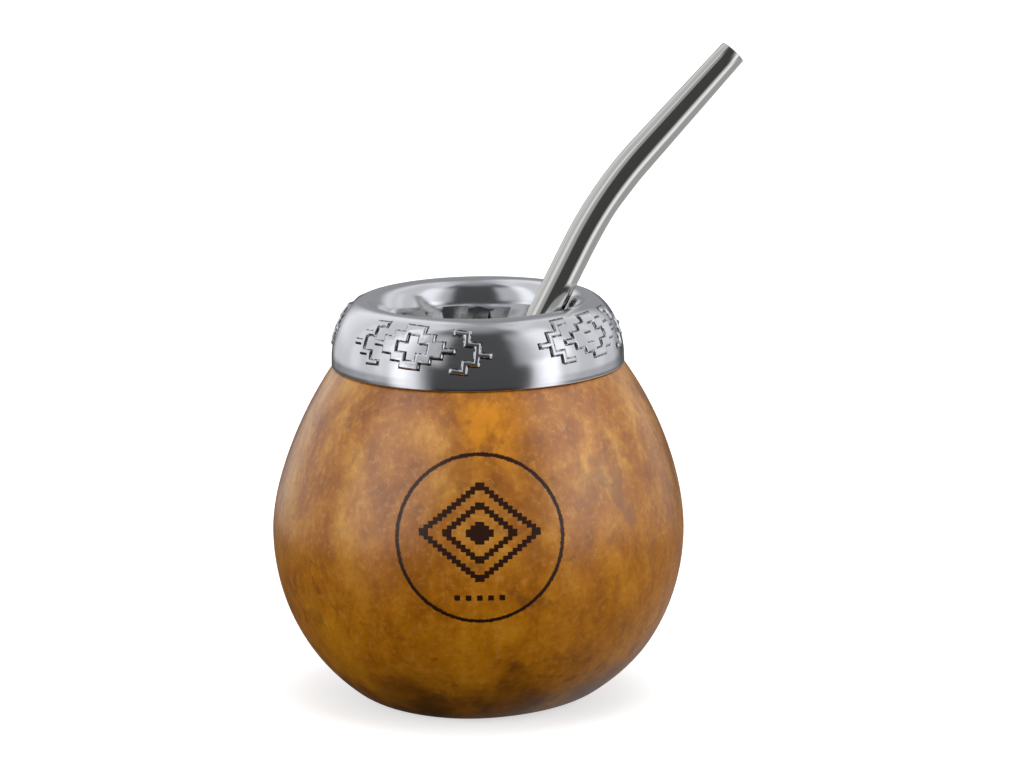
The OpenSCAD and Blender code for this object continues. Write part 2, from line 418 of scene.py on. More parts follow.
@dataclass(frozen=True)
class Metal:
    """A polished metal with faint waves and fine marks, and painted shade at the feet of raised
    figures where a shade colour is given.
    """

    name: str
    tint: str
    roughness: float
    wave_mm: float
    wave_depth: float
    mark_stretch: tuple[float, float, float] = (1.0, 1.0, 1.0)
    corner_shade: str = ""

    def build(self) -> Material:
        """Return the finished material."""
        material, tree = new_material(self.name)
        waves = grain(tree, millimetres(tree), self.wave_mm, 1.0)
        marks = grain(tree, millimetres(tree, self.mark_stretch), 0.45, 2.0)
        height = calc(tree, "ADD", waves, calc(tree, "MULTIPLY", marks, 0.010))
        bump = add(tree, "Bump", {"Height": height, "Strength": 1.0,
                                            "Distance": self.wave_depth * MM})
        colour: object = linear(self.tint)
        # Painted shade: a dark grey laid over the metal at the feet of raised figures, where shade
        # falls in the corners.
        if self.corner_shade:
            low = add(tree, "Attribute", attribute_name="corner_shade").outputs["Fac"]
            speck = grain(tree, millimetres(tree), 0.8, 3.0)
            painted_shade = calc(tree, "MULTIPLY", low, fade(tree, speck, 0.30, 0.62))
            colour = mix(tree, painted_shade, colour, linear(self.corner_shade))
        shine = calc(tree, "ADD", calc(tree, "MULTIPLY", marks, 0.08), self.roughness - 0.04)
        close(tree, add(tree, "BsdfPrincipled",
                        {"Base Color": colour, "Metallic": 1.0, "Roughness": shine,
                         "Normal": bump.outputs[0]}))
        return material


# Drawn stainless steel tube, polished.
STEEL = Metal("polished_stainless_tube", "#d3d2cd", 0.11, 9.0, 0.02, (1.0, 1.0, 0.1))
# Spun and buffed aluminium sheet.
SPUN = Metal("spun_polished_aluminium", "#e9eaee", 0.14, 5.5, 0.05, (0.12, 0.12, 1.0))
# The same sheet where a stamp has raised it, with painted shade darkening the feet of the figures.
STAMPED = Metal("stamped_aluminium", "#eaebee", 0.16, 1.6, 0.05, corner_shade="#2c2b2c")
# The sheet's cut and folded tabs: rougher from the shears, and tinted darker as painted shade down
# in the throat.
SHADED_TABS = Metal("aluminium_tabs_painted_shade", "#a6a6a8", 0.20, 1.8, 0.08)


# Mesh helpers


def closed_piece(name: str, bm: Drawing, materials: list[Material],
                 sharp_deg: float = 40.0) -> Object:
    """Turn a drawing in millimetres into an object in metres.

    Args:
        name: the object's name.
        bm: the drawing, which is freed.
        materials: the object's materials in order.
        sharp_deg: faces that meet at more than this stay crisp.

    Returns:
        The object, linked to the scene.
    """
    bmesh.ops.recalc_face_normals(bm, faces=bm.faces)
    bmesh.ops.scale(bm, vec=(MM, MM, MM), verts=bm.verts)
    mesh = bpy.data.meshes.new(name)
    bm.to_mesh(mesh)
    bm.free()
    mesh.shade_smooth()
    mesh.set_sharp_from_angle(angle=math.radians(sharp_deg))
    for material in materials:
        mesh.materials.append(material)
    made = bpy.data.objects.new(name, mesh)
    bpy.context.scene.collection.objects.link(made)
    return made


def spun(bm: Drawing, outline: list[Point], steps: int, loop: bool) -> None:
    """Spin an outline of radius and height once round the upright axis.

    Args:
        bm: the mesh that takes the faces.
        outline: the points in order.
        steps: how many faces there are round the axis.
        loop: whether the last point joins the first.
    """
    verts = [bm.verts.new((r, 0.0, z)) for r, z in outline]
    edges = [bm.edges.new(pair) for pair in zip(verts, verts[1:])]
    if loop:
        edges.append(bm.edges.new((verts[-1], verts[0])))
    bmesh.ops.spin(bm, geom=verts + edges, cent=(0, 0, 0), axis=(0, 0, 1),
                   dvec=(0, 0, 0), angle=2 * math.pi, steps=steps, use_merge=True)
    bmesh.ops.remove_doubles(bm, verts=bm.verts, dist=1e-4)


def merge(bm: Drawing, part: Drawing) -> None:
    """Copy a part into a drawing and free the part."""
    spare = bpy.data.meshes.new("spare")
    part.to_mesh(spare)
    part.free()
    bm.from_mesh(spare)
    bpy.data.meshes.remove(spare)


def smoothstep(value: float) -> float:
    """Return a smooth step from zero to one."""
    t = min(max(value, 0.0), 1.0)
    return t * t * (3 - 2 * t)


def spread(first: float, last: float, count: int) -> list[float]:
    """Return evenly spaced values, both ends included."""
    return [first + (last - first) * i / (count - 1) for i in range(count)]


def rounded(before: Point, corner: Point, after: Point, count: int = 6) -> list[Point]:
    """Return a curve that rounds a corner between two points."""
    return [
        tuple((1 - t) ** 2 * a + 2 * t * (1 - t) * b + t * t * c
              for a, b, c in zip(before, corner, after))
        for t in spread(0.0, 1.0, count)
    ]


# The pieces


@dataclass
class GourdShell:
    """The hollow gourd, from its flat foot to the neck inside the collar."""

    belly_r: float = 45.27
    belly_z: float = 38.0
    foot_r: float = 24.0
    seat_z: float = 75.0
    seat_r: float = 31.8
    low_power: float = 2.05
    high_power: float = 1.7
    wall: float = 5.0
    floor_t: float = 6.0
    neck_foot_r: float = 31.05
    neck_r: float = 26.8
    neck_in_r: float = 22.2
    neck_top: float = 85.45
    lump: float = 0.25
    dimple: float = 0.12
    foot_lift: float = 0.8
    inner_floor_z: float = 7.2
    shelf_z: float = 79.0
    steps: int = 200
    tilt: float = math.radians(0.9)

    def low_h(self) -> float:
        """Return the height of the full lower quarter of the outline."""
        end = math.acos((self.foot_r / self.belly_r) ** (self.low_power / 2))
        return self.belly_z / math.sin(end) ** (2 / self.low_power)

    def high_h(self) -> float:
        """Return the height of the full upper quarter of the outline."""
        end = math.acos((self.seat_r / self.belly_r) ** (self.high_power / 2))
        return (self.seat_z - self.belly_z) / math.sin(end) ** (2 / self.high_power)

    def radius(self, z: float) -> float:
        """Return the outer radius at a height below the seat."""
        low = z < self.belly_z
        power = self.low_power if low else self.high_power
        part = abs(z - self.belly_z) / (self.low_h() if low else self.high_h())
        return self.belly_r * max(1 - part ** power, 0.0) ** (1 / power)

    def outline(self) -> list[Point]:
        """Return the outline from the middle of the foot round to the inner floor."""
        heights = [self.seat_z * (1 - math.cos(math.pi * t)) / 2 for t in spread(0, 1, 76)]
        side = [(self.radius(z), z) for z in heights]
        inner = [self.inside(z) for z in reversed(heights) if self.inside(z)[1] > self.inner_floor_z]
        flat = self.foot_r - 2.2
        corner = rounded((flat, 0.0), (self.foot_r - 0.1, 0.0), (self.radius(2.0), 2.0), 8)
        path = [(r, 0.0) for r in spread(0.0, flat - 0.6, 7)] + corner
        path += [p for p in side if 2.4 < p[1] < self.seat_z - 0.3]
        path += [(self.seat_r, self.seat_z - 0.15), (self.neck_foot_r, self.seat_z - 0.05)]
        path += [(self.neck_foot_r + (self.neck_r - self.neck_foot_r) * t,
                  self.seat_z + (self.neck_top - self.seat_z) * t) for t in spread(0.1, 0.95, 6)]
        path += rounded((self.neck_r, self.neck_top - 0.8), (self.neck_r, self.neck_top),
                        (self.neck_r - 1.0, self.neck_top), 5)
        path += rounded((self.neck_in_r + 1.0, self.neck_top), (self.neck_in_r, self.neck_top),
                        (self.neck_in_r, self.neck_top - 1.0), 5)
        path += [(self.neck_in_r + 0.9, self.shelf_z)]
        path += inner
        rim_r = inner[-1][0]
        path += [(r, self.floor_t) for r in spread(rim_r - 2.0, 0.0, 7)]
        return path

    def inside(self, z: float) -> Point:
        """Return the point of the inner wall that faces a height of the outer wall."""
        step = 0.01
        slope = (self.radius(min(z + step, self.seat_z)) - self.radius(z - step)) / (2 * step)
        length = math.hypot(1.0, slope)
        return self.radius(z) - self.wall / length, z + self.wall * slope / length

    def settled(self, co: Vector) -> Vector:
        """Return a point moved by the gourd's lumps, its lean and its uneven foot."""
        angle = math.atan2(co.y, co.x)
        share = math.sin(math.pi * min(co.z / self.seat_z, 1.0)) if co.z < self.seat_z else 0.0
        swell = share * self.lump * (
            0.6 * math.cos(2 * angle - math.radians(50))
            + 0.4 * math.cos(3 * angle + math.radians(20)))
        dent = self.dimple * share * (noise.noise(co * 0.055) - 0.12)
        reach = math.hypot(co.x, co.y)
        grown = 1 + (swell + dent) / max(reach, 8.0)
        moved = Vector((co.x * grown, co.y * grown, co.z))
        lean = smoothstep((co.z - self.belly_z) / (self.seat_z - self.belly_z))
        raised = moved.z - self.seat_z
        tipped = Vector((moved.x * math.cos(self.tilt) - raised * math.sin(self.tilt), moved.y,
                         self.seat_z + moved.x * math.sin(self.tilt)
                         + raised * math.cos(self.tilt)))
        moved = moved.lerp(tipped, lean)
        lift = self.foot_lift * smoothstep((co.x + 8.0) / 30.0)
        moved.z += lift * (1 - smoothstep(co.z / 14.0))
        return moved

    def build(self, rind: Material, raw: Material) -> Object:
        """Build the gourd.

        Args:
            rind: the finish of the outside.
            raw: the finish of the inside.

        Returns:
            The gourd.
        """
        bm = bmesh.new()
        spun(bm, self.outline(), self.steps, False)
        for face in bm.faces:
            centre = face.calc_center_median()
            reach = math.hypot(centre.x, centre.y)
            low = centre.z < self.seat_z
            limit = self.radius(centre.z) - 2.5 if low else self.neck_in_r + 2.2
            face.material_index = int(reach < limit and centre.z > 4.0)
        for vert in bm.verts:
            vert.co = self.settled(vert.co)
        return closed_piece("gourd_visual", bm, [rind, raw], 50.0)


class Figure(Enum):
    """The two stamped figures. Each step is a height and how far the figure reaches there."""

    DIAMOND = (((0.5, 8.0), (1.8, 6.0), (3.1, 4.0), (4.5, 2.0)), ((1.0, 3.0), (2.7, 1.0)), 0.0)
    BRACKET = (((0.5, 3.5), (2.5, 1.5), (4.5, -0.5)), ((1.5, 0.5), (3.5, -1.5)), 3.5)

    def covers(self, x: float, z: float) -> bool:
        """Return whether the figure covers a place, in cells from its middle."""
        solid, hole, back = self.value
        across = x if back else abs(x)
        if back and x < -back:
            return False
        inside = [any(abs(z) < high and across < reach for high, reach in steps)
                  for steps in (solid, hole)]
        return inside[0] and not inside[1]

    def marks(self) -> tuple[list[float], list[float]]:
        """Return the places across and up where the outline may turn."""
        solid, hole, back = self.value
        reaches = [reach for _, reach in solid + hole]
        highs = [high for high, _ in solid + hole]
        left = [-back] if back else [-r for r in reaches]
        return sorted(set(reaches + left)), sorted(set(highs + [-h for h in highs]))


@dataclass(frozen=True)
class Stamp:
    """One figure on the collar, with its turn from the front, its roll and its lift."""

    figure: Figure
    side: int
    turn: float
    roll: float
    lift: float


@dataclass
class Collar:
    """The spun metal collar with its stamped figures and its folded tabs."""

    seat_z: float = 75.0
    skirt_h: float = 2.0
    skirt_r: float = 32.15
    crown_r: float = 25.0
    crown_z: float = 89.5
    throat_r: float = 20.3
    throat_z: float = 82.5
    power: float = 1.75
    sheet: float = 0.8
    tilt: float = math.radians(0.9)
    steps: int = 256
    stamp_mid: float = 8.7
    stamp_h: float = 0.42
    stamp_edge: float = 0.24
    moat: float = 0.2
    sunk: float = 0.2
    cell_w: float = 1.22
    cell_h: float = 0.97
    tabs: int = 24
    tab_l: float = 5.6
    tab_sheet: float = 0.42
    tab_rows: int = 8
    tab_columns: int = 5
    order: tuple[tuple[Figure, int], ...] = (
        (Figure.BRACKET, -1), (Figure.DIAMOND, 1), (Figure.BRACKET, 1))
    places: tuple[tuple[float, float, float], ...] = (
        (-50, -3, 0), (-27, 2, 0.1), (-2, 6, -0.8), (34, -2, 0.2), (57, -1, 0.3), (81, 2, 0.1),
        (124, 3, -0.3), (148, -2, 0), (172, -3, 0.2), (221, 2, -0.2), (245, 2, 0.2), (269, -2, 0))

    def stamps(self) -> list[Stamp]:
        """Return the stamps in order, each with its turn, its roll and its lift."""
        return [Stamp(*self.order[i % len(self.order)], *place)
                for i, place in enumerate(self.places)]

    def shoulder(self, inset: float, count: int) -> list[Point]:
        """Return the shoulder's outline from the skirt up to the crown."""
        wide = self.skirt_r - self.crown_r - inset
        tall = self.crown_z - self.seat_z - self.skirt_h - inset
        return [(self.crown_r + wide * max(math.cos(a), 0.0) ** (2 / self.power),
                 self.seat_z + self.skirt_h + tall * math.sin(a) ** (2 / self.power))
                for a in spread(0.0, math.pi / 2, count)]

    def funnel(self, inset: float, count: int) -> list[Point]:
        """Return the funnel's outline from the crown down to the throat."""
        wide = self.crown_r - self.throat_r - inset
        tall = self.crown_z - self.throat_z - inset
        return [(self.crown_r - wide * math.cos(a), self.throat_z + tall * math.sin(a))
                for a in spread(math.pi / 2, 0.0, count)][1:]

    def tipped(self) -> Matrix:
        """Return the collar's slight lean about its seat."""
        seat = Matrix.Translation((0, 0, self.seat_z))
        return seat @ Matrix.Rotation(-self.tilt, 4, "Y") @ seat.inverted()

    def build_sheet(self, metal: Material) -> Object:
        """Spin the sheet, with a rolled lower edge.

        Args:
            metal: the finish of the spun sheet.

        Returns:
            The sheet.
        """
        bottom = self.seat_z
        inner_r = self.skirt_r - self.sheet
        edge = rounded((inner_r, bottom + 0.25), (inner_r, bottom), (inner_r + 0.3, bottom), 4)
        edge += rounded((self.skirt_r - 0.3, bottom), (self.skirt_r, bottom),
                        (self.skirt_r, bottom + 0.35), 5)
        outline = edge + [(self.skirt_r, bottom + 1.0)]
        outline += self.shoulder(0.0, 34) + self.funnel(0.0, 26)
        outline += list(reversed(self.funnel(self.sheet, 26)))
        outline += list(reversed(self.shoulder(self.sheet, 34)))
        bm = bmesh.new()
        spun(bm, outline, self.steps, True)
        for vert in bm.verts:
            swing = noise.noise(vert.co * 0.09) * 0.05
            flat = Vector((vert.co.x, vert.co.y, 0.0)).normalized()
            vert.co -= flat * (0.05 + swing) * smoothstep((vert.co.z - self.seat_z) / 2.0)
        bmesh.ops.transform(bm, matrix=self.tipped(), verts=bm.verts)
        return closed_piece("collar_sheet", bm, [metal], 55.0)

    def on_shoulder(self, x: float, z: float, out: float) -> Vector:
        """Return a point over the front of the shoulder.

        Args:
            x: millimetres to the right of the middle.
            z: the height.
            out: how far the point stands off the sheet.

        Returns:
            The point before the stamp's turn round the axis.
        """
        wide = self.skirt_r - self.crown_r
        tall = self.crown_z - self.seat_z - self.skirt_h
        up = min(max((z - self.seat_z - self.skirt_h) / tall, 0.0), 0.999)
        over = (1 - up ** self.power) ** (1 / self.power)
        reach = self.crown_r + wide * over
        along = Vector((over ** (self.power - 1) / wide, up ** (self.power - 1) / tall))
        along.normalize()
        depth = math.sqrt(max(reach * reach - x * x, 0.0))
        face = Vector((x / reach * along.x, -depth / reach * along.x, along.y))
        return Vector((x, -depth, z)) + face * out

    def flat_figure(self, bm: Drawing, stamp: Stamp) -> Ring:
        """Draw one figure as a flat block with rounded upper edges.

        Args:
            bm: the mesh that takes the block.
            stamp: the figure and its side.

        Returns:
            The block's vertices.
        """
        block = bmesh.new()
        across, up = stamp.figure.marks()
        fine = [sorted(set(v for a, b in zip(marks, marks[1:])
                           for v in spread(a, b, max(2, round((b - a) / 0.5) + 1))))
                for marks in (across, up)]
        for x0, x1 in zip(fine[0], fine[0][1:]):
            for z0, z1 in zip(fine[1], fine[1][1:]):
                if x1 - x0 > 1e-6 and z1 - z0 > 1e-6 and stamp.figure.covers(
                        (x0 + x1) / 2, (z0 + z1) / 2):
                    block.faces.new([block.verts.new((stamp.side * x * self.cell_w,
                                                      z * self.cell_h, 0.0))
                                     for x, z in ((x0, z0), (x1, z0), (x1, z1), (x0, z1))])
        bmesh.ops.remove_doubles(block, verts=block.verts, dist=1e-3)
        grown = bmesh.ops.inset_region(block, faces=block.faces[:], thickness=-self.moat,
                                       use_even_offset=True, use_boundary=True)
        bmesh.ops.delete(block, geom=grown["faces"], context="FACES")
        raised = bmesh.ops.extrude_face_region(block, geom=block.faces[:])
        top = [v for v in raised["geom"] if isinstance(v, bmesh.types.BMVert)]
        faces = [f for f in raised["geom"] if isinstance(f, bmesh.types.BMFace)]
        bmesh.ops.translate(block, verts=top, vec=(0, 0, self.sunk))
        bmesh.ops.recalc_face_normals(block, faces=block.faces)
        for thick, rise in ((self.moat, 0.05), (self.stamp_edge, self.stamp_h - 0.05)):
            bmesh.ops.inset_region(block, faces=faces, thickness=thick, depth=rise,
                                   use_even_offset=True, use_boundary=True)
        high = self.sunk + self.stamp_h / 2
        crisp = [e for e in block.edges
                 if len(e.link_faces) == 2 and e.calc_face_angle(0.0) > 0.5
                 and min(v.co.z for v in e.verts) > high]
        bmesh.ops.bevel(block, geom=crisp, offset=self.stamp_edge * 0.6, segments=3,
                        profile=0.5, affect="EDGES", material=-1, clamp_overlap=True)
        before = set(bm.verts)
        merge(bm, block)
        return [v for v in bm.verts if v not in before]

    def build_figures(self, metal: Material) -> Object:
        """Stand every figure on the shoulder.

        Args:
            metal: the finish of the stamped metal.

        Returns:
            The figures as one object.
        """
        bm = bmesh.new()
        tone = bm.verts.layers.float.new("corner_shade")
        for stamp in self.stamps():
            roll, turn = math.radians(stamp.roll), math.radians(stamp.turn)
            middle = self.seat_z + self.stamp_mid + stamp.lift
            spin = Matrix.Rotation(turn, 3, "Z")
            for vert in self.flat_figure(bm, stamp):
                u, v, out = vert.co
                x = u * math.cos(roll) + v * math.sin(roll)
                z = middle - u * math.sin(roll) + v * math.cos(roll)
                # Painted shade weight: one at the foot of each figure, fading to nothing up its
                # sides.
                vert[tone] = 1 - smoothstep((out - self.sunk - 0.05) / (0.75 * self.stamp_h))
                vert.co = spin @ self.on_shoulder(x, z, out - self.sunk)
        bmesh.ops.transform(bm, matrix=self.tipped(), verts=bm.verts)
        return closed_piece("collar_figures", bm, [metal], 75.0)

    def build_tabs(self, metal: Material) -> Object:
        """Fold the slit lower edge of the funnel in, tab by tab.

        Args:
            metal: the finish of the cut sheet.

        Returns:
            The tabs as one object.
        """
        draw = random.Random(11)
        stride = self.tab_l / (self.tab_rows - 1)
        bm = bmesh.new()
        for i in range(self.tabs):
            turn = 2 * math.pi * (i + draw.uniform(-0.06, 0.06)) / self.tabs
            half = math.pi * self.throat_r / self.tabs * draw.uniform(1.02, 1.14)
            lean = math.radians(34 + 9 * math.sin(math.radians(137 * i)))
            twist = math.radians(draw.uniform(-15, 15))
            curl = math.radians(draw.uniform(-22, 30))
            taper = draw.uniform(0.80, 0.98)
            root = self.throat_z + 1.3 + draw.uniform(-0.4, 0.5)
            skew = draw.uniform(-0.8, 0.8)
            ridge = draw.uniform(0.15, 0.6)
            rows = []
            r, z, tip = self.throat_r + 0.15, root, math.radians(12)
            for t in spread(0.0, 1.0, self.tab_rows):
                bend = tip + (lean - tip) * smoothstep(t / 0.3) + curl * t * t
                rows.append((r, z, bend, t))
                r -= stride * math.sin(bend)
                z -= stride * math.cos(bend)
            grid = []
            for r, z, bend, t in rows:
                wide = half * (1 - (1 - taper) * t)
                row = []
                for s in spread(-1.0, 1.0, self.tab_columns):
                    off = wide * s + skew * t
                    roll = twist * t * off
                    crown = ridge * (1 - abs(s)) * math.sin(math.pi * min(1.4 * t, 1.0))
                    inward = r - roll * math.cos(bend) - crown
                    row.append(Vector((inward, off, z + roll * math.sin(bend))))
                grid.append(row)
            self.tab_faces(bm, grid, Matrix.Rotation(turn, 3, "Z"))
        bmesh.ops.transform(bm, matrix=self.tipped(), verts=bm.verts)
        return closed_piece("collar_tabs", bm, [metal], 35.0)

    def tab_faces(self, bm: Drawing, grid: list[list[Vector]], spin: Matrix) -> None:
        """Make one closed tab from a grid of points, with the sheet's thickness.

        Args:
            bm: the mesh that takes the tab.
            grid: rows of points from the root to the tip.
            spin: the tab's turn round the axis.
        """
        tab = bmesh.new()
        made = [[tab.verts.new(spin @ p) for p in row] for row in grid]
        for upper, lower in zip(made, made[1:]):
            for k in range(len(upper) - 1):
                tab.faces.new((upper[k], upper[k + 1], lower[k + 1], lower[k]))
        bmesh.ops.recalc_face_normals(tab, faces=tab.faces)
        bmesh.ops.solidify(tab, geom=tab.faces[:], thickness=self.tab_sheet)
        merge(bm, tab)

    def build(self, spun_metal: Material, stamped: Material, tab_metal: Material) -> list[Object]:
        """Build the collar.

        Args:
            spun_metal: the finish of the sheet.
            stamped: the finish of the figures.
            tab_metal: the finish of the tabs.

        Returns:
            The sheet, the figures and the tabs.
        """
        return [self.build_sheet(spun_metal), self.build_figures(stamped),
                self.build_tabs(tab_metal)]


@dataclass
class Straw:
    """The bent metal straw, with its strainer down in the gourd."""

    tube_r: float = 3.55
    tube_t: float = 0.5
    tip_r: float = 3.0
    lean: float = math.radians(28.4)
    bend: float = math.radians(16.7)
    bend_r: float = 86.0
    bend_z: float = 99.1
    bend_x: float = 23.22
    upper_l: float = 30.6
    lower_l: float = 98.82
    turn: float = math.radians(20.0)
    strainer_r: float = 4.7
    strainer_l: float = 20.0
    hole_r: float = 0.6
    hole_cut: float = 0.95
    first_hole_ring: int = 8
    hole_rows: int = 5
    holes_round: int = 8
    lip_round: float = 0.16
    sides: int = 64

    def stations(self) -> list[tuple[float, float]]:
        """Return each ring's place along the straw from the bend down or up, and its radius."""
        rings = []
        for a in spread(0.0, 90.0, 8)[1:]:
            rings.append((-self.lower_l - self.strainer_r * math.cos(math.radians(a)),
                          self.strainer_r * math.sin(math.radians(a))))
        for s in spread(0.0, self.strainer_l, 13)[1:]:
            share = s / self.strainer_l
            rings.append((-self.lower_l + s,
                          self.strainer_r + (self.tube_r - self.strainer_r) * share))
        rings += [(s, self.tube_r) for s in spread(-self.lower_l + 25, 0.0, 20)]
        arc = self.bend_r * self.bend
        rings += [(s, self.tube_r) for s in spread(0.0, arc, 15)[1:]]
        rings += [(arc + s, self.tube_r + (self.tip_r - self.tube_r) * s / self.upper_l)
                  for s in spread(0.0, self.upper_l, 11)[1:]]
        return rings

    def middle(self, s: float) -> tuple[Vector, float]:
        """Return the middle line's point and its angle, in the straw's own frame."""
        arc = self.bend_r * self.bend
        turned = min(max(s, 0.0), arc) / self.bend_r
        beyond = s if s < 0 else max(s - arc, 0.0)
        x = self.bend_r * (1 - math.cos(turned)) + beyond * math.sin(turned)
        z = self.bend_r * math.sin(turned) + beyond * math.cos(turned)
        return Vector((x, 0, z)), turned

    def squeeze(self, s: float, angle: float) -> float:
        """Return how far the wall is pressed in where the tube was bent."""
        arc = self.bend_r * self.bend
        along = (s - arc * 0.42) / (arc * 0.16)
        inner = max(math.cos(angle), 0.0) ** 3
        return 0.16 * math.exp(-along * along) * inner

    def ring(self, bm: Drawing, s: float, radius: float, inset: float = 0.0) -> Ring:
        """Draw one ring of vertices.

        Args:
            bm: the mesh that takes them.
            s: the place along the straw.
            radius: the outer radius there.
            inset: how far inside the outer wall the ring lies.

        Returns:
            The ring's vertices.
        """
        centre, turned = self.middle(s)
        verts = []
        for i in range(self.sides):
            angle = 2 * math.pi * i / self.sides
            reach = radius - inset - self.squeeze(s, angle)
            side = Vector((math.cos(angle) * math.cos(turned), math.sin(angle),
                           -math.cos(angle) * math.sin(turned)))
            verts.append(bm.verts.new(centre + side * reach))
        return verts

    def placed(self) -> Matrix:
        """Return the straw's place in the frame."""
        return (Matrix.Rotation(self.turn, 4, "Z")
                @ Matrix.Translation((self.bend_x, 0, self.bend_z))
                @ Matrix.Rotation(self.lean, 4, "Y"))

    def join(self, bm: Drawing, rings: list[Ring]) -> None:
        """Fill the faces between neighbouring rings."""
        for lower, upper in zip(rings, rings[1:]):
            for i in range(self.sides):
                j = (i + 1) % self.sides
                bm.faces.new((lower[i], lower[j], upper[j], upper[i]))

    def pierce(self, bm: Drawing, outer: list[Ring], inner: list[Ring], rows: list[int]) -> None:
        """Open the strainer's holes through both walls.

        Args:
            bm: the straw's mesh.
            outer: the outer rings.
            inner: the inner rings, in the same order.
            rows: the rings on which the holes are centred.
        """
        step = self.sides // self.holes_round
        for count, row in enumerate(rows):
            for k in range(self.holes_round):
                at = (k * step + (count % 2) * step // 2) % self.sides
                loops = []
                for rings in (outer, inner):
                    centre = rings[row][at].co.copy()
                    faces = set(rings[row][at].link_faces)
                    near = {v for f in faces for v in f.verts}
                    faces = {f for v in near for f in v.link_faces
                             if (f.calc_center_median() - centre).length < self.hole_cut}
                    border = {e for f in faces for e in f.edges
                              if sum(g in faces for g in e.link_faces) == 1}
                    bmesh.ops.delete(bm, geom=list(faces), context="FACES")
                    edge = [e for e in border if e.is_valid]
                    for v in {v for e in edge for v in e.verts}:
                        v.co = centre + (v.co - centre).normalized() * self.hole_r
                    loops += edge
                bmesh.ops.bridge_loops(bm, edges=loops)

    def build(self, metal: Material) -> Object:
        """Build the straw.

        Args:
            metal: the finish of the tube.

        Returns:
            The straw.
        """
        bm = bmesh.new()
        rings = self.stations()
        outer = [self.ring(bm, s, radius) for s, radius in rings]
        pole = bm.verts.new(self.middle(-self.lower_l - self.strainer_r)[0])
        inner = [self.ring(bm, s, radius, self.tube_t) for s, radius in rings[1:]]
        inner_pole = bm.verts.new(
            self.middle(-self.lower_l - self.strainer_r + self.tube_t)[0])
        self.join(bm, outer)
        self.join(bm, inner)
        for tip, ring in ((pole, outer[0]), (inner_pole, inner[0])):
            for i in range(self.sides):
                bm.faces.new((tip, ring[i], ring[(i + 1) % self.sides]))
        self.join(bm, [outer[-1], inner[-1]])
        rim = [e for e in bm.edges if all(v in set(outer[-1]) for v in e.verts)
               or all(v in set(inner[-1]) for v in e.verts)]
        rows = [self.first_hole_ring + 2 * k for k in range(self.hole_rows)]
        self.pierce(bm, outer, [outer[0]] + inner, rows)
        rim = [e for e in rim if e.is_valid]
        bmesh.ops.bevel(bm, geom=rim, offset=self.lip_round, segments=3, profile=0.5,
                        affect="EDGES", material=-1)
        bmesh.ops.transform(bm, matrix=self.placed(), verts=bm.verts)
        return closed_piece("straw_visual", bm, [metal], 50.0)


# The studio


@dataclass(frozen=True)
class SoftBox:
    """A lit panel that shows in polished surfaces, as a span of directions.

    Azimuth is zero towards the camera's side and grows to the right. Low and high are
    heights from minus one, straight down, to one, straight up.
    """

    azimuth: float
    half: float
    edge: float
    low: float
    high: float
    level: float
    soft: float = 0.08

    def light(self, tree: Tree, azimuth: Socket, height: Socket) -> Socket:
        """Return the panel's light in each direction.

        Args:
            tree: the world's node tree.
            azimuth: degrees round from the camera's side.
            height: the upward part of the direction.

        Returns:
            The light output.
        """
        turned = calc(tree, "WRAP", calc(tree, "SUBTRACT", azimuth, self.azimuth), 180.0, -180.0)
        off = calc(tree, "ABSOLUTE", turned)
        across = fade(tree, off, self.half - self.edge, self.half + self.edge, self.level, 0.0)
        above = fade(tree, height, self.low - self.soft, self.low + self.soft)
        below = fade(tree, height, self.high - self.soft, self.high + self.soft, 1.0, 0.0)
        return calc(tree, "MULTIPLY", across, calc(tree, "MULTIPLY", above, below))


